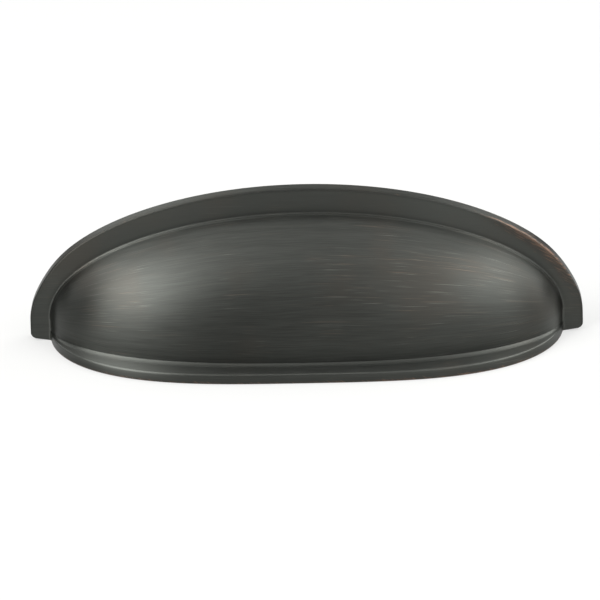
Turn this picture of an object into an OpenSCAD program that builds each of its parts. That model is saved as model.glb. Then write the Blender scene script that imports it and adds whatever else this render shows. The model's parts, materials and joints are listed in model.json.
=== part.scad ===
// Cup pull for a drawer front: one casting with a half-oval back plate, a hollow dome that the
// fingers reach into from below, a moulded lip along its lower edge, and two tapped posts inside.
// The frame: X along the pull, Y towards the drawer front, Z up. The back face lies in y = 0, and
// the origin is midway between the two screw holes.

/* [Back plate] */
// Overall length of the back plate
plate_len = 106; // [100:1:120]
// Height of the plate's half ellipse above the springing line, where its straight legs end
plate_rise = 26; // [24:0.2:32]
// Thickness of the back plate
plate_t = 2.4; // [1.8:0.1:3.4]
// Radius of the plate's front edge
plate_edge_r = 0.5; // [0.2:0.1:0.7]
// Radius of the plate's two lower corners
plate_corner_r = 0.9; // [0.8:0.1:1.8]
// How far the plate's ends rise above the bottom plane
corner_lift = 0.5; // [0.1:0.1:0.9]

/* [Dome] */
// Width of the plate's border beside each end of the dome
border_side = 3.7; // [2.5:0.1:6]
// Width of the plate's border above the dome
border_top = 4.8; // [3:0.1:7]
// How far the dome stands out from the back face
dome_depth = 19.8; // [17:0.1:22]
// How square the dome is in plan, where 2 is an ellipse and more is a flatter front
dome_square = 2.7; // [2:0.1:3]
// Wall of the dome
wall = 2; // [1.4:0.1:2.8]
// Fillet where the dome meets the plate
root_r = 0.5; // [0.2:0.1:0.9]

/* [Lip] */
// Height of the plate's legs and of the lip, from the bottom plane up to the springing line
leg_h = 4.6; // [4.2:0.1:7]
// How far the lip stands out from the back face
lip_depth = 23.2; // [22.5:0.1:26]
// How square the lip is in plan, where 2 is an ellipse and more is a flatter front
lip_square = 3.3; // [3:0.1:4]
// Height of the upright rim band
rim_h = 2; // [1.4:0.1:2.3]
// Slope of the ledge between the rim and the dome, in degrees
ledge_slope = 10; // [2:1:12]
// Radius of the cove between the ledge and the dome
cove_r = 0.7; // [0.3:0.1:0.9]
// Radius of the rim's upper edge
rim_edge_r = 0.4; // [0.2:0.1:0.6]
// Radius of the rim's lower edges, outside and inside
rim_foot_r = 0.35; // [0.2:0.05:0.5]

/* [Screw posts] */
// Distance between the two screw holes
hole_spacing = 76.2; // [64:0.1:80]
// Height of the screw holes above the springing line
hole_rise = 5; // [4:0.1:7]
// Core diameter of the tapped hole
hole_d = 3.5; // [2.8:0.1:4.4]
// Metal around the tapped hole
post_wall = 2.25; // [1.5:0.05:3]
// Metal left between the end of the hole and the face of the dome
hole_floor = 3.5; // [2:0.1:5]

/* [Hidden] */
bronze = "#3a3733";
// Steps along half of the hollow, along the end of the dome and along the end of the plate
hollow_steps = 26;
dome_end_steps = 6;
plate_end_steps = 8;
// Steps over the dome's curve and round a small radius
dome_steps = 12;
edge_steps = 3;
// The last station of the dome, the hollow and the plate stops this far short of its very end
end_gap = 0.2;
tip_gap = 0.05;
// How far a cutting shape runs past the face that it cuts
overcut = 1;
plate_half = plate_len / 2;
dome_half = plate_half - border_side;
dome_rise = plate_rise - border_top;
hollow_half = dome_half - wall;
hollow_depth = dome_depth - wall;
rim_top = rim_h - leg_h;
post_d = hole_d + 2 * post_wall;
// Where the dome's depth comes down to the plate's face, and the hollow's to the back face
dome_last = dome_half * plan_reach((plate_t + end_gap) / dome_depth, dome_square);
hollow_last = hollow_half * plan_reach(end_gap / hollow_depth, dome_square);

// A run of n steps from a to b, both ends included
function steps(a, b, n) = [for (i = [0:n]) a + (b - a) * i / n];

// Height of a half ellipse at x
function arch(half, rise, x) = rise * sqrt(max(0, 1 - pow(x / half, 2)));

// Depth of a plan outline at the fraction u of its half length: an ellipse when square is 2
function plan_depth(depth, square, u) = depth * sqrt(1 - pow(abs(u), square));

// The fraction of the half length at which a plan outline has the fraction d of its depth
function plan_reach(d, square) = pow(1 - d * d, 1 / square);

// Points of a round edge in a section: radius r about the centre c, from angle a to angle b
function round_edge(c, r, a, b) = [for (q = steps(a, b, edge_steps)) c + r * [cos(q), sin(q)]];

// Outside of the dome and the lip at the station x, as [depth, height] points: the root fillet on
// the plate's face, a quarter ellipse down to the springing line, the cove, the ledge and the rim.
// The small radii shrink with the dome and the ledge towards the ends.
function outer_path(x) =
    let (
        depth = plan_depth(dome_depth, dome_square, x / dome_half),
        rise = arch(dome_half, dome_rise, x),
        lip = plan_depth(lip_depth, lip_square, x / dome_half),
        ledge = lip - depth,
        root = min(root_r, (depth - plate_t) / 2),
        cove = min(cove_r, 0.4 * ledge),
        edge = min(rim_edge_r, 0.3 * ledge),
        fall = tan(ledge_slope),
        start = asin((plate_t + root) / depth)
    )
    concat(
        [for (q = steps(0, 90, edge_steps))
            let (d = plate_t + root * (1 - cos(q)))
            [d, arch(depth, rise, d) + root * (1 - sin(q))]],
        [for (i = [1:dome_steps])
            let (q = start + (90 - start) * i / dome_steps)
            [depth * sin(q), rise * cos(q)]],
        round_edge([depth + cove, rim_top + (ledge - cove) * fall + cove / cos(ledge_slope)],
            cove, 180, 270 - ledge_slope),
        round_edge([lip - edge, rim_top + edge * fall - edge / cos(ledge_slope)],
            edge, 90 - ledge_slope, 0),
        round_edge([lip - rim_foot_r, rim_foot_r - leg_h], rim_foot_r, 0, -90)
    );

// Inside of the dome at the station x, from the rounded inner foot of the lip up to the back face
function inner_path(x) =
    let (
        depth = plan_depth(hollow_depth, dome_square, x / hollow_half),
        rise = arch(hollow_half, dome_rise - wall, x),
        foot = min(rim_foot_r, depth / 2)
    )
    concat(
        round_edge([depth + foot, foot - leg_h], foot, 270, 180),
        [for (q = steps(90, 0, dome_steps)) [depth * sin(q), rise * cos(q)]]
    );

// Height of the plate's lower edge at x: flat under the dome, rising beside it, and round at the end
function plate_low(x) =
    let (
        slope = atan(corner_lift / border_side),
        across = x - (plate_half - plate_corner_r),
        middle = (border_side - plate_corner_r) * tan(slope) + plate_corner_r / cos(slope)
    )
    across > plate_corner_r * sin(slope)
        ? middle - sqrt(pow(plate_corner_r, 2) - pow(across, 2)) - leg_h
        : max(0, x - dome_half) * tan(slope) - leg_h;

// Height of the plate's upper edge at x, on its outline drawn in by inset
function plate_high(x, inset) = arch(plate_half - inset, plate_rise - inset, x);

// A path laid flat at one depth, with its heights fitted between low and high
function flattened(path, depth, low, high) =
    let (top = max([for (p = path) p.y]))
    [for (p = path) [depth, low + (p.y + leg_h) * (high - low) / (top + leg_h)]];

// Closed section of the casting at the station x: plate with its rounded front edge, dome, lip and
// hollow. Past the end of the dome its points lie on the plate's face, and past the end of the
// hollow they lie on the back face.
function section(x) =
    let (
        u = abs(x),
        low = plate_low(u),
        turn = acos(max(0, 1 - (plate_half - u) / plate_edge_r)),
        face = plate_t - plate_edge_r * (1 - sin(turn)),
        face_high = plate_high(u, plate_edge_r * (1 - cos(turn))),
        outer = outer_path(min(u, dome_last)),
        inner = inner_path(min(u, hollow_last)),
        inner_high = inner[len(inner) - 1].y
    )
    concat(
        [[0, plate_high(u, 0)]],
        [for (q = steps(0, turn, edge_steps))
            [plate_t - plate_edge_r * (1 - sin(q)), plate_high(u, plate_edge_r * (1 - cos(q)))]],
        u > dome_last ? flattened(outer, face, low, min(outer[0].y, face_high - end_gap)) : outer,
        u > hollow_last ? flattened(inner, 0, low, min(inner_high, face_high - end_gap)) : inner
    );

// Stations from the middle to one end, close together where the hollow, the dome and the plate end
function half_stations() =
    let (
        plate_last = plate_half - tip_gap,
        middle = (dome_last + plate_last) / 2
    )
    concat(
        [for (t = steps(90, 0, hollow_steps)) hollow_last * cos(t)],
        [for (i = [1:dome_end_steps])
            hollow_last + (dome_last - hollow_last) * sin(90 * i / dome_end_steps)],
        [for (i = [1:plate_end_steps])
            middle - (plate_last - middle) * cos(180 * i / plate_end_steps)]
    );

// Solid skin over rings of equal point counts, closed at each end by a fan about the ring's middle
module skin(rings) {
    n = len(rings[0]);
    m = len(rings);
    last = (m - 1) * n;
    ring_points = [for (ring = rings) each ring];
    middles = [for (ring = [rings[0], rings[m - 1]]) [for (p = ring) 1] * ring / n];
    walls = [for (i = [0:m - 2], j = [0:n - 1])
        let (a = i * n + j, b = i * n + (j + 1) % n)
        each [[a, b + n, b], [a, a + n, b + n]]];
    ends = [for (j = [0:n - 1])
        let (k = (j + 1) % n)
        each [[m * n, j, k], [m * n + 1, last + k, last + j]]];
    polyhedron(concat(ring_points, middles), concat(walls, ends));
}

// Plate, dome and lip as one hollow shell
module shell() {
    half = half_stations();
    count = len(half);
    stations = concat([for (i = [count - 1:-1:1]) -half[i]], half);
    skin([for (x = stations) [for (p = section(x)) [x, -p.x, p.y]]]);
}

// The hollow grown to the middle of the dome's wall, which is where the posts end
module post_room() {
    half = dome_half - wall / 2;
    end_angle = 1;
    skin([for (t = steps(180 - end_angle, end_angle, 2 * hollow_steps))
        let (
            rise = (dome_rise - wall / 2) * sin(t),
            depth = plan_depth(dome_depth - wall / 2, dome_square, cos(t))
        )
        [for (p = concat([[-overcut, -leg_h], [-overcut, rise]],
            [for (q = steps(0, 90, dome_steps)) [depth * sin(q), rise * cos(q)]],
            [[depth, -leg_h]]))
            [half * cos(t), -p.x, p.y]]]);
}

// Both screw axes, as cylinders of diameter d that run from depth a to depth b
module on_screw_axes(d, a, b) {
    for (side = [-1, 1])
        translate([side * hole_spacing / 2, -a, hole_rise])
            rotate([90, 0, 0])
                cylinder(d = d, h = b - a, $fn = 64);
}

// The whole casting: the shell, and posts from the back face to the dome with a blind hole in each
module cup_pull() {
    u = hole_spacing / 2;
    dome_face = arch(arch(dome_half, dome_rise, u), plan_depth(dome_depth, dome_square, u / dome_half),
        hole_rise + hole_d / 2);
    color(bronze)
        translate([0, 0, -hole_rise])
            difference() {
                union() {
                    shell();
                    intersection() {
                        on_screw_axes(post_d, 0, dome_depth);
                        post_room();
                    }
                }
                on_screw_axes(hole_d, -overcut, dome_face - hole_floor);
            }
}

cup_pull();
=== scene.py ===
"""Looks of a drawer cup pull: one dark rubbed-bronze casting that stands on its lip on a white table.

The casting is worked out as surfaces over the right half, which are then mirrored. Its points are
(x, depth, height) in millimetres: x along the pull, depth from the back face towards the viewer, and
height from the springing line, where the dome's curve ends and the lip's upright part begins.
"""

import json
import math

import bmesh
import bpy
import numpy as np
from mathutils import Matrix, Vector


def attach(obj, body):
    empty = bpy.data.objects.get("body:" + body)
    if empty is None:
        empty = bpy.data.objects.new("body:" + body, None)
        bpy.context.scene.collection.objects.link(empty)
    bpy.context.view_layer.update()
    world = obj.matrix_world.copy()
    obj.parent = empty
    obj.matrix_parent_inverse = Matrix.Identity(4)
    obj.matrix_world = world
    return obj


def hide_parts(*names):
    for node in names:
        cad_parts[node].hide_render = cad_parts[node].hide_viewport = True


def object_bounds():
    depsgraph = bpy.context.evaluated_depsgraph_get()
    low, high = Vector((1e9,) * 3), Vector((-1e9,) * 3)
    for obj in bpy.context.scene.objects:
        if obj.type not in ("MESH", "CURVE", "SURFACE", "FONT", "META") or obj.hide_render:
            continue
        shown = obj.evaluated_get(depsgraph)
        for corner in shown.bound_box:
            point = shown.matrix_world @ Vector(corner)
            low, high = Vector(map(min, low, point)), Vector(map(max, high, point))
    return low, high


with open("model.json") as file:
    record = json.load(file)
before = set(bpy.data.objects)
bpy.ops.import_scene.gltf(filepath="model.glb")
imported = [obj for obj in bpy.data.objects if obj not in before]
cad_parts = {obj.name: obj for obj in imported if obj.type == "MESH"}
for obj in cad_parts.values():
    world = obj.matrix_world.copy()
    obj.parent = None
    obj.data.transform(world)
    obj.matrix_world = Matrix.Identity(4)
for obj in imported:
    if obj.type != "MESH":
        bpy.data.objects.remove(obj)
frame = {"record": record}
cad_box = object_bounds()

MM = 0.001
SCREWS = next(m["dims"] for m in frame["record"]["mounts"] if m["name"] == "screw_holes")

# Back plate
PLATE_HALF = 53.0
PLATE_RISE = 26.0
PLATE_T = 2.4
PLATE_EDGE_R = 0.35
PLATE_CORNER_R = 1.1
CORNER_LIFT = 0.5
BORDER_SIDE = 3.7
BORDER_TOP = 4.8
# How far the plate's outline is drawn in beside the dome, and the height and spread of this
TUCK = 0.62
TUCK_H = 7.5
TUCK_SPREAD = 5.5

# Dome, with the fillet where it meets the plate
DOME_HALF = PLATE_HALF - BORDER_SIDE
DOME_RISE = PLATE_RISE - BORDER_TOP
DOME_DEPTH = 19.8
DOME_SQUARE = 2.7
WALL = 2.0
ROOT_R = 0.35
CREASE = PLATE_T + ROOT_R
# Depth up to which a point counts as the plate's
PLATE_FRONT = PLATE_T + ROOT_R / 4

# Lip
LEG_H = 4.6
LIP_DEPTH = 23.2
LIP_SQUARE = 3.3
RIM_H = 2.0
RIM_TOP = RIM_H - LEG_H
LEDGE_SLOPE = math.radians(5)
COVE_R = 1.7
COVE_START = math.radians(44)
RIM_EDGE_R = 0.4
RIM_FOOT_R = 0.35
# How much of a narrow ledge its cove and its edge may take, and of a thin rim its foot
COVE_SHARE = 0.6
EDGE_SHARE = 0.3
FOOT_SHARE = 0.5

# Screw posts and their tapped holes
HOLE_RISE = 5.0
HOLE_X = SCREWS["spacing_x_mm"] / 2
HOLE_R = SCREWS["hole_r_mm"]
HOLE_DEPTH = 8.6
POST_R = HOLE_R + 2.25
POST_CHAMFER = 0.25
SINK_R = HOLE_R + 0.55
THREAD_PITCH = 0.794
THREAD_H = 0.33

# Steps along half of the pull and across each stretch of its section
STATIONS = 120
DOME_STEPS = 56
ARC_STEPS = 8
CORNER_STEPS = 10
WALL_STEPS = 5
LEDGE_STEPS = 6
RIM_STEPS = 4
SIDE_STEPS = 3
FACE_STEPS = 14
BOTTOM_STEPS = 4
BACK_STEPS = 3
# Steps round a screw post, across its end, along it and along its bore
ROUND_STEPS = 64
POST_END_STEPS = 5
POST_STEPS = 8
BORE_STEPS = 109
# A number that stands for nearly nothing, and the distance within which points are merged
TINY = 1e-6
MERGE_MM = 100 * TINY
# Edges sharper than this are not shaded smooth
SHARP_ANGLE = math.radians(32)

# The brush map's unit, the mean radius of the dome's section, and how far the strokes wander
BRUSH_UNIT = 100.0
BRUSH_RADIUS = 20.0
BRUSH_WOBBLE = 0.45

# Wear on the plate: how far it reaches in from the edge and back over the side, where it is strongest,
# how much of it is elsewhere, and the height by which it and the painted shade of the crease have come in
RUB_WIDTH = 2.0
RUB_BACK = 1.0
RUB_X = 44.0
RUB_SPREAD = 8.0
RUB_ELSEWHERE = 0.1
SHOULDER_H = 6.0
# Wear on the lip's foot: how far it reaches, where it is strongest, and how much of it is elsewhere
FOOT_RUB = 0.5
FOOT_RUB_X = 28.0
FOOT_RUB_SPREAD = 16.0
FOOT_RUB_ELSEWHERE = 0.7
# Scuffs in the wear
RUB_SLANT = math.radians(30)
SCUFF_SIZE = (2.4, 0.6, 0.17)
SCUFF_CONTRAST = 3.0
# Painted shade in the crease between plate and dome, and a painted dark reflection along the plate's front
# edge
CREASE_WIDTH = 0.6
CREASE_PAINTED_SHADE = 0.3
EDGE_WIDTH = 0.35
EDGE_PAINTED_DARK_REFLECTION = 0.6
# Painted light on the plate's face, its side and the lip's ledge: a level everywhere, then patches as
# (level, x, spread), where a negative level is painted shade. The ledge's reach is a height
FACE_PAINTED_LIGHT = 0.45
SHOULDERS_PAINTED_LIGHT = (0.2, 29, 14)
RIGHT_SHOULDER_PAINTED_LIGHT = (0.25, 29, 11)
ENDS_PAINTED_SHADE = (-0.25, PLATE_HALF, 7)
SIDE_PAINTED_LIGHT = (0.25, 0, 20)
LEDGE_REACH = 0.7
LEDGE_PAINTED_LIGHT = 0.27
# A painted highlight on the left of the ledge's cove
LEDGE_LEFT_PAINTED_HIGHLIGHT = (0.55, -36, 10)
# Painted light on the right end of the dome, and the darker right shoulder of the plate's side
RIGHT_END_PAINTED_LIGHT = (0.35, 48, 1.8)
SIDE_DARK = (0.35, RUB_X, 2 * RUB_SPREAD)
# Painted shade in two places of the dome: level, x, spread, height and its spread
DOME_PAINTED_SHADE = ((0.2, -16, 11, 2.5, 6), (0.2, 43, 4, 5, 6))

# Colours of the finish
DARK_BRONZE = (0.0445, 0.0466, 0.0426, 1)
WORN_BRONZE = (0.0587, 0.0612, 0.056, 1)
BROWN_BRONZE = (0.0575, 0.0535, 0.0464, 1)
PALE_STROKE = (0.2, 0.2, 0.18, 1)
COPPER_STROKE = (0.146, 0.11, 0.085, 1)
BARE_COPPER = (0.188, 0.12, 0.088, 1)

# Brush strokes: length and width in millimetres, and where they lie in the noise
FINE_STROKES = (7.0, 0.14, 0.0)
BROAD_STROKES = (20.0, 0.8, 7.3)
PALE_STROKES = (11.0, 0.16, 13.1)
COPPER_STROKES = (12.0, 0.22, 21.7)
# How much of the tone the fine strokes make, and the broad ones the rest
FINE_SHARE = 0.7
# Noises: scale, detail and, for the strokes, roughness
STROKE_NOISE = (1.0, 2.5, 0.55)
WOBBLE_NOISE = (45.0, 1.0)
CLOUD_NOISE = (60.0, 3.0)
SCUFF_NOISE = (1.0, 2.0)
# Smooth steps that turn noises and masks into shares: from, to, and the shares there if not 0 and 1
TONE_STEP = (0.36, 0.65)
CLOUD_STEP = (0.48, 0.72, 0.0, 0.6)
PALE_STEP = (0.62, 0.75, 0.0, 0.6)
PALE_CLOUD_STEP = (0.42, 0.58)
COPPER_STEP = (0.62, 0.74)
COPPER_CLOUD_STEP = (0.4, 0.6, 0.05, 0.5)
HALO_STEP = (0.05, 0.6, 0.0, 0.6)
WORN_STEP = (0.5, 1.1, 0.0, 0.75)
RUB_STEP = (0.04, 0.15)
# A painted highlight line on the dome beside the plate: the depths where it comes in and goes out, and its
# level
PAINTED_HIGHLIGHT_IN = (CREASE - 0.1, CREASE + 0.1)
PAINTED_HIGHLIGHT_OUT = (CREASE + 0.2, CREASE + 0.6, 1.0, 0.0)
PAINTED_HIGHLIGHT_LEVEL = 0.8
# How fast the strokes fade where the finish is pale
PALE_FADE = 1.6
# Roughness without strokes, and what fine strokes, pale places and polished ones add to it
ROUGH = 0.37
ROUGH_FINE = 0.16
ROUGH_PALE = 0.2
ROUGH_POLISH = -0.1
BUMP_STRENGTH = 0.5
BUMP_DISTANCE = 6e-6


def bell(distance, width):
    """1 at no distance, falling off as exp(-(distance / width) squared)."""
    return np.exp(-(distance / width) ** 2)


def patch(x, level, place, spread):
    """A level that falls off as a bell with the distance of x from one place."""
    return level * bell(x - place, spread)


def front_rise(rise, half, x):
    """Height of a front outline at x: rise times the root of 1 minus (x / half) squared."""
    return rise * np.sqrt(1 - (x / half) ** 2)


def plan_depth(depth, square, half, x):
    """Depth of a plan outline at x: depth times the root of 1 minus |x / half| to the power square."""
    return depth * np.sqrt(np.clip(1 - np.abs(x / half) ** square, 0, None))


def plan_reach(level, depth, square):
    """The x at which a plan outline is down to one depth level, which is plan_depth solved for x."""
    return DOME_HALF * (1 - (level / depth) ** 2) ** (1 / square)


def tuck_share(height):
    """What is left of the plate's half width at one height, where its outline is drawn in a little."""
    return 1 - TUCK / PLATE_HALF * bell(height - TUCK_H, TUCK_SPREAD)


def straight(a, b, steps):
    """Columns on straight lines from column a to column b, both left out."""
    w = np.arange(1, steps)[None, :, None] / steps
    return a[:, None, :] * (1 - w) + b[:, None, :] * w


def arc(centre, radius, start, end, steps=ARC_STEPS):
    """Columns on arcs in the depth and height plane: centre plus radius times (cosine, sine)."""
    q = np.linspace(start, end, steps + 1)
    return centre[:, None, :] + radius[:, None, None] * stack(0 * q, np.cos(q), np.sin(q))


def columns(*parts):
    """Points of a section side by side, where a lone column counts as one."""
    return np.concatenate([p[:, None, :] if p.ndim == 2 else p for p in parts], 1)


def stack(*values):
    """An array of points from values that are each one number or one array."""
    return np.stack(np.broadcast_arrays(*values), -1).astype(float)


def turns():
    """Angles of the stations: x follows their cosine, from the right end to the middle."""
    return np.linspace(0, math.pi / 2, STATIONS + 1)


def dome_level(level):
    """The dome's outline at one depth level. x is its reach there times cos t, and the height is that of
    the section's quarter ellipse at this depth."""
    x = plan_reach(level, DOME_DEPTH, DOME_SQUARE) * np.cos(turns())
    depth = plan_depth(DOME_DEPTH, DOME_SQUARE, DOME_HALF, x)
    rise = front_rise(DOME_RISE, DOME_HALF, x)
    return stack(x, level, rise * np.sqrt(np.clip(1 - (level / depth) ** 2, 0, None)))


def dome_outside():
    """Outside of the dome: at each station a quarter ellipse (depth sin q, rise cos q), from the fillet
    down to the springing line, with the plan's depth and the front outline's rise."""
    x = plan_reach(CREASE, DOME_DEPTH, DOME_SQUARE) * np.cos(turns())
    depth = plan_depth(DOME_DEPTH, DOME_SQUARE, DOME_HALF, x)
    rise = front_rise(DOME_RISE, DOME_HALF, x)
    start = np.arcsin(np.minimum(1, CREASE / depth))
    w = np.linspace(0, 1, DOME_STEPS + 1)
    q = start[:, None] + (math.pi / 2 - start[:, None]) * w
    return stack(x[:, None], depth[:, None] * np.sin(q), rise[:, None] * np.cos(q))


def hollow():
    """Inside of the dome: the same quarter ellipses, smaller by the wall, up to the back face."""
    t = turns()
    x = (DOME_HALF - WALL) * np.cos(t)
    depth = plan_depth(DOME_DEPTH - WALL, DOME_SQUARE, DOME_HALF - WALL, x)
    q = np.linspace(math.pi / 2, 0, DOME_STEPS + 1)
    rise = (DOME_RISE - WALL) * np.sin(t)
    return stack(x[:, None], depth[:, None] * np.sin(q), rise[:, None] * np.cos(q))


def lip_outside():
    """Outside below the springing line, top to bottom: upright wall, cove, sloping ledge, rounded edge,
    rim and rounded foot. Between the plan outlines of the dome and the lip, x is mixed by how far a
    point has come across the ledge, so that all of them end in the plate's fillet."""
    t = turns()
    dome_end = plan_reach(CREASE, DOME_DEPTH, DOME_SQUARE)
    lip_end = plan_reach(CREASE, LIP_DEPTH, LIP_SQUARE)
    depth = plan_depth(DOME_DEPTH, DOME_SQUARE, DOME_HALF, dome_end * np.cos(t))
    lip = plan_depth(LIP_DEPTH, LIP_SQUARE, DOME_HALF, lip_end * np.cos(t))
    ledge = np.maximum(lip - depth, TINY)
    lip = depth + ledge
    cove = np.minimum(COVE_R, COVE_SHARE * ledge)
    cove_in = cove * math.cos(COVE_START)
    edge = np.minimum(RIM_EDGE_R, EDGE_SHARE * ledge)
    foot = np.minimum(RIM_FOOT_R, FOOT_SHARE * (lip - CREASE))
    fall = math.tan(LEDGE_SLOPE)
    lean = math.cos(LEDGE_SLOPE)
    cove_arc = arc(stack(0, depth + cove_in, RIM_TOP + (ledge - cove_in) * fall + cove / lean),
                   cove, math.pi + COVE_START, 1.5 * math.pi - LEDGE_SLOPE)
    edge_arc = arc(stack(0, lip - edge, RIM_TOP + edge * fall - edge / lean),
                   edge, math.pi / 2 - LEDGE_SLOPE, 0)
    foot_arc = arc(stack(0, lip - foot, foot - LEG_H), foot, 0, -math.pi / 2)
    top = stack(0, depth, 0)
    points = columns(top, straight(top, cove_arc[:, 0], WALL_STEPS), cove_arc,
                     straight(cove_arc[:, -1], edge_arc[:, 0], LEDGE_STEPS), edge_arc,
                     straight(edge_arc[:, -1], foot_arc[:, 0], RIM_STEPS), foot_arc)
    across = np.clip((points[..., 1] - depth[:, None]) / ledge[:, None], 0, 1)
    across[:, -foot_arc.shape[1]:] = 1
    points[..., 0] = (dome_end + across * (lip_end - dome_end)) * np.cos(t)[:, None]
    return points, across


def lip_inside(count):
    """Inside below the springing line, bottom to top: rounded foot and upright wall, in count columns."""
    t = turns()
    x = (DOME_HALF - WALL) * np.cos(t)
    depth = plan_depth(DOME_DEPTH - WALL, DOME_SQUARE, DOME_HALF - WALL, x)
    foot = np.minimum(RIM_FOOT_R, FOOT_SHARE * depth)
    foot_arc = arc(stack(0, depth + foot, foot - LEG_H), foot, 1.5 * math.pi, math.pi)
    top = stack(0, depth, 0)
    points = columns(foot_arc, straight(foot_arc[:, -1], top, count - ARC_STEPS - 1), top)
    points[..., 0] = x[:, None]
    return points


def leg_outline(count):
    """The plate's edge from the springing line down the leg and round its corner, as places and outward
    normals: a straight side, then an arc that ends square to the leg's rising lower edge."""
    slope = math.atan(CORNER_LIFT / BORDER_SIDE)
    centre_x = PLATE_HALF - PLATE_CORNER_R
    centre_h = (centre_x - DOME_HALF) * math.tan(slope) + PLATE_CORNER_R / math.cos(slope) - LEG_H
    turn = np.concatenate([np.zeros(count - CORNER_STEPS),
                           np.linspace(0, slope - math.pi / 2, CORNER_STEPS + 1)[1:]])
    drop = np.concatenate([np.linspace(0, centre_h, count - CORNER_STEPS),
                           np.full(CORNER_STEPS, centre_h)])
    out = stack(np.cos(turn), 0, np.sin(turn))
    return stack(centre_x, 0, drop) + PLATE_CORNER_R * out, out


def plate_front(end_rail, across):
    """Side, rounded front edge, face and root fillet of the plate, from the foot of the leg up to the
    crown. The edge is drawn in by r (1 - cos q) as the depth grows by r sin q, its x is then multiplied
    by tuck_share, and the fillet follows the dome's outline at each depth level, moved outwards by
    r (1 - sin q)."""
    t = turns()
    outline, out = leg_outline(len(end_rail))
    quarter = np.linspace(0, math.pi / 2, ARC_STEPS + 1)

    def edge_row(inset, depth):
        """The plate's outline at one depth, with its edge drawn in by an inset."""
        upper = stack((PLATE_HALF - inset) * np.cos(t), depth, (PLATE_RISE - inset) * np.sin(t))
        leg = outline - inset * out * out[:, :1] + [0, depth, 0]
        row = np.concatenate([leg[:0:-1], upper])
        row[:, 0] *= tuck_share(row[:, 2])
        return row

    crown_rail = dome_level(CREASE)
    along = np.gradient(crown_rail, axis=0)
    normal = stack(along[:, 2], 0, -along[:, 0])
    normal[0], normal[-1] = (1, 0, 0), (0, 0, 1)
    normal /= np.linalg.norm(normal, axis=1)[:, None]

    def fillet_row(level, offset):
        """The outline of lip and dome at one depth level, moved outwards by an offset."""
        dome_end = plan_reach(level, DOME_DEPTH, DOME_SQUARE)
        lip_end = plan_reach(level, LIP_DEPTH, LIP_SQUARE)
        leg = stack(dome_end + across * (lip_end - dome_end) + offset, level, end_rail[:, 2])
        return np.concatenate([leg[:0:-1], dome_level(level) + offset * normal])

    back = edge_row(0, 0)
    edge = [edge_row(PLATE_EDGE_R * (1 - math.cos(q)), PLATE_T - PLATE_EDGE_R * (1 - math.sin(q)))
            for q in quarter]
    fillet = [fillet_row(PLATE_T + ROOT_R * (1 - math.cos(q)), ROOT_R * (1 - math.sin(q)))
              for q in quarter]
    return columns(back, straight(back, edge[0], SIDE_STEPS), *edge,
                   straight(edge[-1], fillet[0], FACE_STEPS), *fillet)


def ruled(a, b, steps):
    """Straight lines from each point of row a to its partner in row b."""
    return columns(a, straight(a, b, steps), b)


def casting_grids():
    """The grids of the right half, which share their border points. The leg's foot is ruled between the
    plate's lowest row and the back's, where each point has its partner."""
    outside, across = lip_outside()
    inside = lip_inside(outside.shape[1])
    room = hollow()
    front = plate_front(outside[0], across[0])
    back_edge = np.concatenate([inside[0], room[1:, -1]])
    back = ruled(back_edge, front[:, 0], BACK_STEPS)
    partner = np.linspace(0, BACK_STEPS, front.shape[1]).astype(int)
    leg_foot = ruled(front[0, ::-1], back[0, partner], BOTTOM_STEPS)
    lip_foot = ruled(outside[:, -1], inside[:, 0], BOTTOM_STEPS)
    return [front, dome_outside(), outside, lip_foot, inside, room, back, leg_foot]


def post_grid():
    """One screw post, turned about its axis: an end inside the dome's wall, the cylinder, the chamfered
    back end, the countersink, a tapped bore and its drilled point. The bore's radius is the core's plus
    a triangle wave of depth / pitch - angle / full turn, so the thread is a helix, and it fades out at
    both ends."""
    angle = np.linspace(0, 2 * math.pi, ROUND_STEPS + 1)

    def ring(radius, depth):
        """A circle about the post's axis, at one depth or at a depth for each point."""
        return stack(HOLE_X + radius * np.cos(angle), depth, HOLE_RISE + radius * np.sin(angle))

    def in_wall(radius):
        """A circle laid on the middle of the dome's wall."""
        p = ring(radius, 0)
        half = DOME_HALF - WALL / 2
        rise = front_rise(DOME_RISE - WALL / 2, half, p[:, 0])
        depth = plan_depth(DOME_DEPTH - WALL / 2, DOME_SQUARE, half, p[:, 0])
        return ring(radius, front_rise(depth, rise, p[:, 2]))

    first, last = SINK_R - HOLE_R, HOLE_DEPTH - HOLE_R / 2
    depths = np.linspace(first, last, BORE_STEPS + 1)
    fade = np.clip(np.minimum(depths - first, last - depths) / THREAD_PITCH, 0, 1)
    phase = (depths[None] / THREAD_PITCH - angle[:, None] / (2 * math.pi)) % 1
    radius = HOLE_R + THREAD_H * fade * (1 - np.abs(2 * phase - 1))
    bore = stack(HOLE_X + radius * np.cos(angle)[:, None], depths[None],
                 HOLE_RISE + radius * np.sin(angle)[:, None])
    ends = [in_wall(r) for r in np.linspace(0, POST_R, POST_END_STEPS + 1)]
    shoulder = ring(POST_R, POST_CHAMFER)
    return columns(*ends, straight(ends[-1], shoulder, POST_STEPS), shoulder,
                   ring(POST_R - POST_CHAMFER, 0), ring(SINK_R, 0), bore, ring(0, HOLE_DEPTH))


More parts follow.
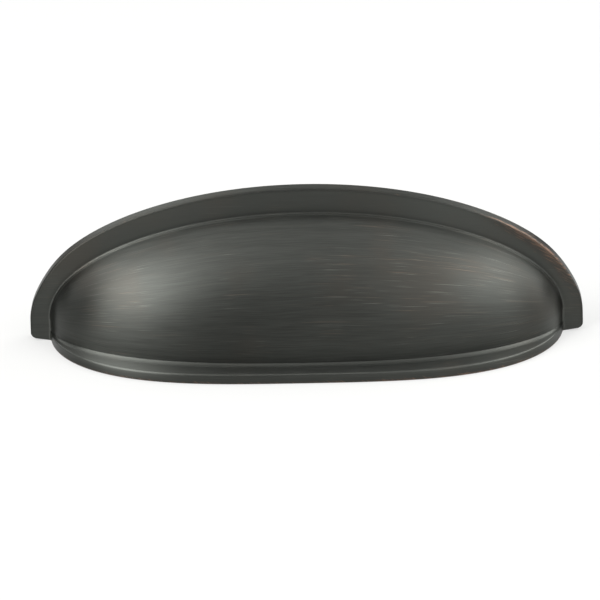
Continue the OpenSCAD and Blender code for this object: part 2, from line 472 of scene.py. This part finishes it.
def mesh_from_grids(name, grids):
    """One closed mesh in metres from grids of points: quads between neighbours, border points merged."""
    points, faces, start = [], [], 0
    for grid in grids:
        rows, cols = grid.shape[:2]
        index = start + np.arange(rows * cols).reshape(rows, cols)
        quads = stack(index[:-1, :-1], index[1:, :-1], index[1:, 1:], index[:-1, 1:])
        faces.append(quads.reshape(-1, 4))
        points.append(grid.reshape(-1, 3))
        start += rows * cols
    p = np.concatenate(points)
    place = MM * stack(p[:, 0], -p[:, 1], p[:, 2] - HOLE_RISE)
    mesh = bpy.data.meshes.new(name)
    mesh.from_pydata(place.tolist(), [], np.concatenate(faces).astype(int).tolist())
    work = bmesh.new()
    work.from_mesh(mesh)
    bmesh.ops.remove_doubles(work, verts=work.verts, dist=MERGE_MM * MM)
    bmesh.ops.dissolve_degenerate(work, edges=work.edges, dist=MERGE_MM * MM)
    bmesh.ops.recalc_face_normals(work, faces=work.faces)
    work.to_mesh(mesh)
    work.free()
    return mesh


def mirrored(grids):
    """The grids and their mirror images about the middle."""
    return grids + [g * [-1, 1, 1] for g in grids]


def add_object(name, mesh):
    """A new object in the scene with this mesh."""
    obj = bpy.data.objects.new(name, mesh)
    bpy.context.scene.collection.objects.link(obj)
    return obj


def vertex_points(mesh):
    """The mesh's points as x, depth and height columns in millimetres."""
    flat = np.empty(3 * len(mesh.vertices))
    mesh.vertices.foreach_get("co", flat)
    x, y, z = flat.reshape(-1, 3).T / MM
    return x, -y, z + HOLE_RISE


def add_brush_map(mesh):
    """UV map of the brushing, in units of BRUSH_UNIT: u runs along the strokes and v across them. On the
    dome and the lip u is x, and v is the section's angle times a mean radius, then the way down the wall
    and out over the ledge. On the plate v is the height, and both grow with the way back over its side."""
    x, depth, height = vertex_points(mesh)
    side = np.clip(np.abs(x), 0, DOME_HALF - TINY)
    dome_depth = plan_depth(DOME_DEPTH, DOME_SQUARE, DOME_HALF, side)
    rise = front_rise(DOME_RISE, DOME_HALF, side)
    up = np.maximum(height, 0)
    v_dome = BRUSH_RADIUS * np.arctan2(depth / dome_depth, up / rise)
    v_dome += np.where(height < 0, np.maximum(depth - dome_depth, 0) - height, 0)
    behind = PLATE_T - depth
    u_plate = x * (1 + behind / PLATE_HALF)
    v_plate = height + behind
    on_plate = depth < PLATE_FRONT
    uv = stack(np.where(on_plate, u_plate, x), np.where(on_plate, v_plate, v_dome)) / BRUSH_UNIT
    corner = np.empty(len(mesh.loops), np.int32)
    mesh.loops.foreach_get("vertex_index", corner)
    mesh.uv_layers.new(name="brush").uv.foreach_set("vector", uv[corner].ravel())


def add_point_values(mesh, name, values):
    """A named value on each point, for the material."""
    mesh.attributes.new(name, "FLOAT", "POINT").data.foreach_set("value", values.astype(np.float32))


def add_finish_masks(mesh):
    """Masks on the points, from 0 to about 1. pale is painted light, and how much smoother the finish is:
    on the plate, less of it at the ends, on the lip's ledge with a painted highlight at its left, and at
    the dome's right end. polish is 1 on the ledge. rub is how much hands and cloths reach a point: it falls
    off with the distance from the plate's front edge, most at the right shoulder, and from the lip's outer
    foot. dark is how
    much darker the finish is made: painted shade beside the crease, by the distance from the dome's
    outline, a painted dark reflection along the plate's front edge, darker on its side at the right
    shoulder, and painted shade in two places of the dome."""
    x, depth, height = vertex_points(mesh)
    up = np.maximum(height, 0)
    risen = np.clip(height / SHOULDER_H, 0, 1)
    away = np.hypot(x, up)
    in_plate = np.hypot(x / tuck_share(height) / PLATE_HALF, up / PLATE_RISE)
    in_dome = np.hypot(x / DOME_HALF, up / DOME_RISE)
    inset = away * (1 / np.maximum(in_plate, TINY) - 1)
    gap = away * (1 - 1 / np.maximum(in_dome, TINY))
    within = np.minimum(np.abs(x), DOME_HALF)
    dome_depth = plan_depth(DOME_DEPTH, DOME_SQUARE, DOME_HALF, within)
    lip_depth = plan_depth(LIP_DEPTH, LIP_SQUARE, DOME_HALF, within)
    behind = np.maximum(PLATE_T - depth, 0)
    plate = depth < PLATE_FRONT
    face = np.clip(1 - behind / PLATE_EDGE_R, 0, 1)
    ledge = bell(height - RIM_TOP, LEDGE_REACH) * (depth > dome_depth + TINY)

    shoulder = bell(x - RUB_X, RUB_SPREAD) * risen
    edge_rub = bell(inset, RUB_WIDTH) * bell(behind, RUB_BACK)
    edge_rub *= RUB_ELSEWHERE + (1 - RUB_ELSEWHERE) * shoulder
    foot_rub = bell(height + LEG_H, FOOT_RUB) * bell(np.maximum(lip_depth - depth, 0), FOOT_RUB)
    foot_rub *= FOOT_RUB_ELSEWHERE + patch(x, 1 - FOOT_RUB_ELSEWHERE, FOOT_RUB_X, FOOT_RUB_SPREAD)
    add_point_values(mesh, "rub", np.where(plate, edge_rub, foot_rub))

    # Painted light on the plate, less of it at the ends, on the ledge and at the dome's right end
    face_painted_light = FACE_PAINTED_LIGHT + patch(np.abs(x), *SHOULDERS_PAINTED_LIGHT) + patch(x, *RIGHT_SHOULDER_PAINTED_LIGHT)
    face_painted_light += patch(np.abs(x), *ENDS_PAINTED_SHADE)
    side_painted_light = patch(np.maximum(x, 0), *SIDE_PAINTED_LIGHT)
    plate_painted_light = side_painted_light + face * (face_painted_light - side_painted_light)
    shell_painted_light = ledge * (LEDGE_PAINTED_LIGHT + patch(x, *LEDGE_LEFT_PAINTED_HIGHLIGHT)) + patch(x, *RIGHT_END_PAINTED_LIGHT)
    add_point_values(mesh, "pale", np.where(plate, plate_painted_light, shell_painted_light))
    add_point_values(mesh, "polish", np.where(plate, 0, ledge))

    # Painted shade beside the crease, and a painted dark reflection along the plate's front edge
    crease_painted_shade = CREASE_PAINTED_SHADE * bell(gap, CREASE_WIDTH) * risen
    edge_painted_dark_reflection = EDGE_PAINTED_DARK_REFLECTION * bell(inset, EDGE_WIDTH) * bell(behind, EDGE_WIDTH) * (1 - shoulder)
    side_dark = patch(x, *SIDE_DARK) * (1 - face)
    plate_dark = np.maximum(np.maximum(crease_painted_shade, edge_painted_dark_reflection), side_dark)
    # Painted shade in two places of the dome
    dome_painted_shade = sum(patch(x, level, place, spread) * bell(height - at_height, reach)
                    for level, place, spread, at_height, reach in DOME_PAINTED_SHADE)
    add_point_values(mesh, "dark", np.where(plate, plate_dark, dome_painted_shade))


def make_casting():
    """The shell with both posts joined to it, shaded smooth but for its sharp edges."""
    shell = add_object("shell", mesh_from_grids("shell", mirrored(casting_grids())))
    posts = add_object("posts", mesh_from_grids("posts", mirrored([post_grid()])))
    join = shell.modifiers.new("posts", "BOOLEAN")
    join.operation = "UNION"
    join.solver = "EXACT"
    join.object = posts
    graph = bpy.context.evaluated_depsgraph_get()
    mesh = bpy.data.meshes.new_from_object(shell.evaluated_get(graph))
    bpy.data.objects.remove(shell)
    bpy.data.objects.remove(posts)
    mesh.name = "rubbed_casting"
    mesh.shade_smooth()
    mesh.set_sharp_from_angle(angle=SHARP_ANGLE)
    add_brush_map(mesh)
    add_finish_masks(mesh)
    return add_object("rubbed_casting", mesh)


def add_node(tree, kind, inputs=None, **settings):
    """A node with its settings. An input that is a socket is linked, and any other value is set."""
    node = tree.nodes.new(kind)
    for name, value in settings.items():
        setattr(node, name, value)
    for key, value in (inputs or {}).items():
        if isinstance(value, bpy.types.NodeSocket):
            tree.links.new(value, node.inputs[key])
        else:
            node.inputs[key].default_value = value
    return node


def math_node(tree, operation, *values, clamp=False):
    """The result of a sum on sockets and numbers."""
    inputs = dict(enumerate(values))
    return add_node(tree, "ShaderNodeMath", inputs, operation=operation, use_clamp=clamp).outputs[0]


def product(tree, first, *others):
    """Sockets and numbers multiplied."""
    for other in others:
        first = math_node(tree, "MULTIPLY", first, other)
    return first


def step_node(tree, value, low, high, out_low=0.0, out_high=1.0):
    """A smooth step of value from low to high."""
    inputs = {"Value": value, "From Min": low, "From Max": high, "To Min": out_low, "To Max": out_high}
    node = add_node(tree, "ShaderNodeMapRange", inputs, interpolation_type="SMOOTHSTEP")
    return node.outputs["Result"]


def noise_node(tree, vector, scale, detail, roughness=0.5):
    """Noise around a half."""
    inputs = {"Vector": vector, "Scale": scale, "Detail": detail, "Roughness": roughness}
    return add_node(tree, "ShaderNodeTexNoise", inputs).outputs["Fac"]


def mask_node(tree, name):
    """One of the masks on the points."""
    return add_node(tree, "ShaderNodeAttribute", attribute_name=name).outputs["Fac"]


def mix_colour(tree, share, a, b):
    """Colour a with a share of colour b."""
    node = add_node(tree, "ShaderNodeMix", {0: share, 6: a, 7: b}, data_type="RGBA")
    return node.outputs[2]


def brush_lines_group():
    """Node group of brush strokes: noise on the brush map, drawn out to a stroke's length and width, both
    in millimetres."""
    group = bpy.data.node_groups.new("brush_lines", "ShaderNodeTree")
    for name in ("Length", "Width", "Shift"):
        group.interface.new_socket(name, in_out="INPUT", socket_type="NodeSocketFloat")
    group.interface.new_socket("Lines", in_out="OUTPUT", socket_type="NodeSocketFloat")
    given = group.nodes.new("NodeGroupInput").outputs
    place = add_node(group, "ShaderNodeTexCoord").outputs["Object"]
    wobble = noise_node(group, place, *WOBBLE_NOISE)
    bend = add_node(group, "ShaderNodeCombineXYZ", {
        "Y": product(group, wobble, 2 * BRUSH_WOBBLE / BRUSH_UNIT)}).outputs[0]
    brush = add_node(group, "ShaderNodeUVMap", uv_map="brush").outputs["UV"]
    bent = add_node(group, "ShaderNodeVectorMath", {0: brush, 1: bend}, operation="ADD").outputs[0]
    scale = add_node(group, "ShaderNodeCombineXYZ", {
        "X": math_node(group, "DIVIDE", BRUSH_UNIT, given["Length"]),
        "Y": math_node(group, "DIVIDE", BRUSH_UNIT, given["Width"])}).outputs[0]
    shift = add_node(group, "ShaderNodeCombineXYZ", {"Z": given["Shift"]}).outputs[0]
    stretched = add_node(group, "ShaderNodeVectorMath", {0: bent, 1: scale, 2: shift},
                         operation="MULTIPLY_ADD").outputs[0]
    add_node(group, "NodeGroupOutput", {"Lines": noise_node(group, stretched, *STROKE_NOISE)})
    return group


def brush_lines(tree, group, length, width, shift):
    """Strokes of one length and width from the node group."""
    inputs = {"Length": length, "Width": width, "Shift": shift}
    return add_node(tree, "ShaderNodeGroup", inputs, node_tree=group).outputs["Lines"]


def finish_colour(tree, group, place, tone, smooth):
    """Colour of the finish: dark to worn bronze by the tone of the strokes, then brown clouds, and then
    pale and coppery strokes that keep to the clouds."""
    pale = brush_lines(tree, group, *PALE_STROKES)
    coppery = brush_lines(tree, group, *COPPER_STROKES)
    cloud = noise_node(tree, place, *CLOUD_NOISE)
    metal = mix_colour(tree, step_node(tree, tone, *TONE_STEP), DARK_BRONZE, WORN_BRONZE)
    metal = mix_colour(tree, step_node(tree, cloud, *CLOUD_STEP), metal, BROWN_BRONZE)
    share = product(tree, step_node(tree, pale, *PALE_STEP),
                    step_node(tree, cloud, *PALE_CLOUD_STEP), smooth)
    metal = mix_colour(tree, share, metal, PALE_STROKE)
    share = product(tree, step_node(tree, coppery, *COPPER_STEP),
                    step_node(tree, cloud, *COPPER_CLOUD_STEP), smooth)
    return mix_colour(tree, share, metal, COPPER_STROKE)


def finish_level(tree, place, painted_light_mask):
    """What the finish's colour is multiplied by: 1, more where the pale mask paints light and on a painted
    highlight line on the dome beside the plate, and less where the dark mask darkens it, mostly as painted
    shade."""
    back = add_node(tree, "ShaderNodeSeparateXYZ", {0: place}).outputs["Y"]
    depth = product(tree, back, -1 / MM)
    # A painted highlight line on the dome just beside the crease
    line = product(tree, step_node(tree, depth, *PAINTED_HIGHLIGHT_IN), step_node(tree, depth, *PAINTED_HIGHLIGHT_OUT))
    level = math_node(tree, "ADD", painted_light_mask, math_node(tree, "MULTIPLY_ADD", line, PAINTED_HIGHLIGHT_LEVEL, 1.0))
    return product(tree, level, math_node(tree, "SUBTRACT", 1.0, mask_node(tree, "dark")))


def rubbed_colour(tree, place, metal):
    """The finish where it is rubbed: a brown halo, and slanted scuffs through to copper."""
    rub = mask_node(tree, "rub")
    slant = add_node(tree, "ShaderNodeMapping", {
        "Vector": place, "Rotation": (0, RUB_SLANT, 0), "Scale": [size * MM for size in SCUFF_SIZE]},
        vector_type="TEXTURE").outputs[0]
    scuff = noise_node(tree, slant, *SCUFF_NOISE)
    scuff = math_node(tree, "MULTIPLY_ADD", scuff, SCUFF_CONTRAST, -SCUFF_CONTRAST / 2)
    worn = math_node(tree, "ADD", rub, scuff)
    metal = mix_colour(tree, step_node(tree, rub, *HALO_STEP), metal, BROWN_BRONZE)
    share = product(tree, step_node(tree, worn, *WORN_STEP), step_node(tree, rub, *RUB_STEP))
    return mix_colour(tree, share, metal, BARE_COPPER)


def make_bronze():
    """Dark bronze, brushed along its length, with faint brown clouds, pale and coppery strokes and edges
    that are rubbed through to copper. The reflection is drawn out across the strokes."""
    material = bpy.data.materials.new("rubbed_bronze")
    material.use_nodes = True
    tree = material.node_tree
    shader = tree.nodes["Principled BSDF"]
    group = brush_lines_group()
    place = add_node(tree, "ShaderNodeTexCoord").outputs["Object"]
    fine = brush_lines(tree, group, *FINE_STROKES)
    broad = brush_lines(tree, group, *BROAD_STROKES)
    # The pale mask is painted light; it also fades the strokes and adds roughness
    painted_light_mask = mask_node(tree, "pale")
    smooth = math_node(tree, "MULTIPLY_ADD", painted_light_mask, -PALE_FADE, 1.0, clamp=True)
    tone = math_node(tree, "ADD", product(tree, fine, FINE_SHARE), product(tree, broad, 1 - FINE_SHARE))
    tone = math_node(tree, "MULTIPLY_ADD", math_node(tree, "SUBTRACT", tone, 0.5), smooth, 0.5)
    metal = finish_colour(tree, group, place, tone, smooth)
    level = finish_level(tree, place, painted_light_mask)
    metal = add_node(tree, "ShaderNodeVectorMath", {0: metal, "Scale": level}, operation="SCALE").outputs[0]
    tree.links.new(rubbed_colour(tree, place, metal), shader.inputs["Base Color"])
    roughness = math_node(tree, "MULTIPLY_ADD", fine, ROUGH_FINE, ROUGH)
    roughness = math_node(tree, "MULTIPLY_ADD", painted_light_mask, ROUGH_PALE, roughness)
    roughness = math_node(tree, "MULTIPLY_ADD", mask_node(tree, "polish"), ROUGH_POLISH, roughness)
    tree.links.new(roughness, shader.inputs["Roughness"])
    bump = add_node(tree, "ShaderNodeBump", {
        "Strength": BUMP_STRENGTH, "Distance": BUMP_DISTANCE, "Height": tone})
    tree.links.new(bump.outputs["Normal"], shader.inputs["Normal"])
    tangent = add_node(tree, "ShaderNodeTangent", direction_type="UV_MAP", uv_map="brush")
    tree.links.new(tangent.outputs["Tangent"], shader.inputs["Tangent"])
    shader.inputs["Metallic"].default_value = 1.0
    shader.inputs["Anisotropic"].default_value = 0.8
    shader.inputs["Anisotropic Rotation"].default_value = 0.25
    return material


casting = make_casting()
casting.data.materials.clear()
casting.data.materials.append(make_bronze())
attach(casting, "root")
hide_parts("cup_pull")

# White table: its own colour, and how much of plain white the eye and the metal see in it
TABLE_GREY = (0.405, 0.406, 0.396, 1)
TABLE_WHITE_SHARE = 0.56
TABLE_HALF = 6.0


def make_table():
    """A flat white table top under the lip, part lit by the lamps so that it keeps the soft shadow, and
    clear from below."""
    low = cad_box[0].z
    corners = TABLE_HALF * np.array([(-1, -1), (1, -1), (1, 1), (-1, 1)])
    mesh = bpy.data.meshes.new("table")
    mesh.from_pydata([(x, y, low) for x, y in corners], [], [(0, 1, 2, 3)])
    table = add_object("table", mesh)
    material = bpy.data.materials.new("white_table")
    material.use_nodes = True
    tree = material.node_tree
    tree.nodes.clear()
    ray = add_node(tree, "ShaderNodeLightPath").outputs
    seen = math_node(tree, "MAXIMUM", ray["Is Camera Ray"],
                     math_node(tree, "MAXIMUM", ray["Is Glossy Ray"], ray["Is Transmission Ray"]))
    share = math_node(tree, "MULTIPLY", seen, TABLE_WHITE_SHARE)
    paper = add_node(tree, "ShaderNodeBsdfDiffuse", {"Color": TABLE_GREY}).outputs[0]
    white = add_node(tree, "ShaderNodeEmission", {"Strength": 1.0}).outputs[0]
    top = add_node(tree, "ShaderNodeMixShader", {0: share, 1: paper, 2: white}).outputs[0]
    under = add_node(tree, "ShaderNodeNewGeometry").outputs["Backfacing"]
    clear = add_node(tree, "ShaderNodeBsdfTransparent").outputs[0]
    surface = add_node(tree, "ShaderNodeMixShader", {0: under, 1: top, 2: clear}).outputs[0]
    add_node(tree, "ShaderNodeOutputMaterial", {"Surface": surface})
    table.data.materials.append(material)


make_table()

# Soft boxes: azimuth from the viewer towards the right, elevation, width and height in metres at
# LAMP_DISTANCE, and the irradiance that each brings to the pull
LAMP_DISTANCE = 1.0
SOFT_BOXES = {
    "left_box": (-60, 45, 0.7, 0.4, 3.5),
    "left_low": (-52, 25, 0.5, 0.4, 1.0),
    "left_high": (-45, 65, 0.6, 0.4, 0.6),
    "right_box": (75, 45, 0.7, 0.4, 2.05),
    "right_low": (70, 25, 0.45, 0.4, 0.55),
    "right_high": (90, 65, 0.45, 0.4, 0.35),
    "right_side": (102, 22, 0.45, 0.4, 0.7),
    "front_low": (27, 30, 0.6, 0.4, 0.7),
    "front_high": (18, 65, 0.6, 0.4, 0.5),
    "top_box": (0, 85, 0.8, 0.5, 0.15),
    "left_rim": (-130, 30, 0.7, 0.5, 1.2),
    "right_rim": (126, 32, 0.7, 0.5, 1.65),
    "top_rim": (180, 70, 1.0, 0.4, 1.0),
}
ROOM_LIGHT = 0.12


def add_soft_box(name, azimuth, elevation, width, height, irradiance):
    """An area lamp that faces the pull. A flat lamp of power p gives p / (pi d squared) at distance d."""
    az, el = math.radians(azimuth), math.radians(elevation)
    way = Vector((math.sin(az) * math.cos(el), -math.cos(az) * math.cos(el), math.sin(el)))
    lamp = bpy.data.lights.new(name, "AREA")
    lamp.shape = "RECTANGLE"
    lamp.size = width
    lamp.size_y = height
    lamp.energy = irradiance * math.pi * LAMP_DISTANCE ** 2
    turn = way.to_track_quat("Z", "Y").to_matrix().to_4x4()
    box = bpy.data.objects.new(name, lamp)
    box.matrix_world = Matrix.Translation(way * LAMP_DISTANCE) @ turn
    bpy.context.scene.collection.objects.link(box)


for box_name, box_values in SOFT_BOXES.items():
    add_soft_box(box_name, *box_values)

# Camera: the photograph's view, in millimetres and pixels of a 600 pixel frame
VIEW_TARGET = (0, -8, 7)
VIEW_DISTANCE = 700
VIEW_ELEVATION = 25
VIEW_AZIMUTH = 0.88
VIEW_ROLL = -1.483
VIEW_SCALE = 5.3
VIEW_CENTRE = (304.6, 269.02)
FRAME_PX = 600
SENSOR_MM = 36


def make_camera():
    """A long lens at the photograph's angle. The target's pixel is met by turning the camera, so the lens
    has no shift."""
    el, az, roll = map(math.radians, (VIEW_ELEVATION, VIEW_AZIMUTH, VIEW_ROLL))
    back = Vector((math.sin(az) * math.cos(el), -math.cos(az) * math.cos(el), math.sin(el)))
    level = Vector((math.cos(az), math.sin(az), 0))
    up = back.cross(level)
    right = math.cos(roll) * level + math.sin(roll) * up
    upright = math.cos(roll) * up - math.sin(roll) * level
    focal_px = VIEW_SCALE * VIEW_DISTANCE
    away_x, away_y = [(c - FRAME_PX / 2) / focal_px for c in VIEW_CENTRE]
    behind = (back + away_x * right - away_y * upright).normalized()
    right = (right - right.dot(behind) * behind).normalized()
    turn = Matrix((right, behind.cross(right), behind)).transposed()
    camera = bpy.data.objects.new("camera", bpy.data.cameras.new("camera"))
    camera.data.sensor_width = SENSOR_MM
    camera.data.lens = focal_px / FRAME_PX * SENSOR_MM
    place = MM * (Vector(VIEW_TARGET) + VIEW_DISTANCE * back)
    camera.matrix_world = Matrix.Translation(place) @ turn.to_4x4()
    bpy.context.scene.collection.objects.link(camera)
    bpy.context.scene.camera = camera


make_camera()


def make_world():
    """A plain pale room."""
    world = bpy.data.worlds.new("pale_room")
    world.use_nodes = True
    world.node_tree.nodes["Background"].inputs["Color"].default_value = (1, 1, 1, 1)
    world.node_tree.nodes["Background"].inputs["Strength"].default_value = ROOM_LIGHT
    bpy.context.scene.world = world


make_world()
bpy.context.scene.view_settings.view_transform = "Standard"
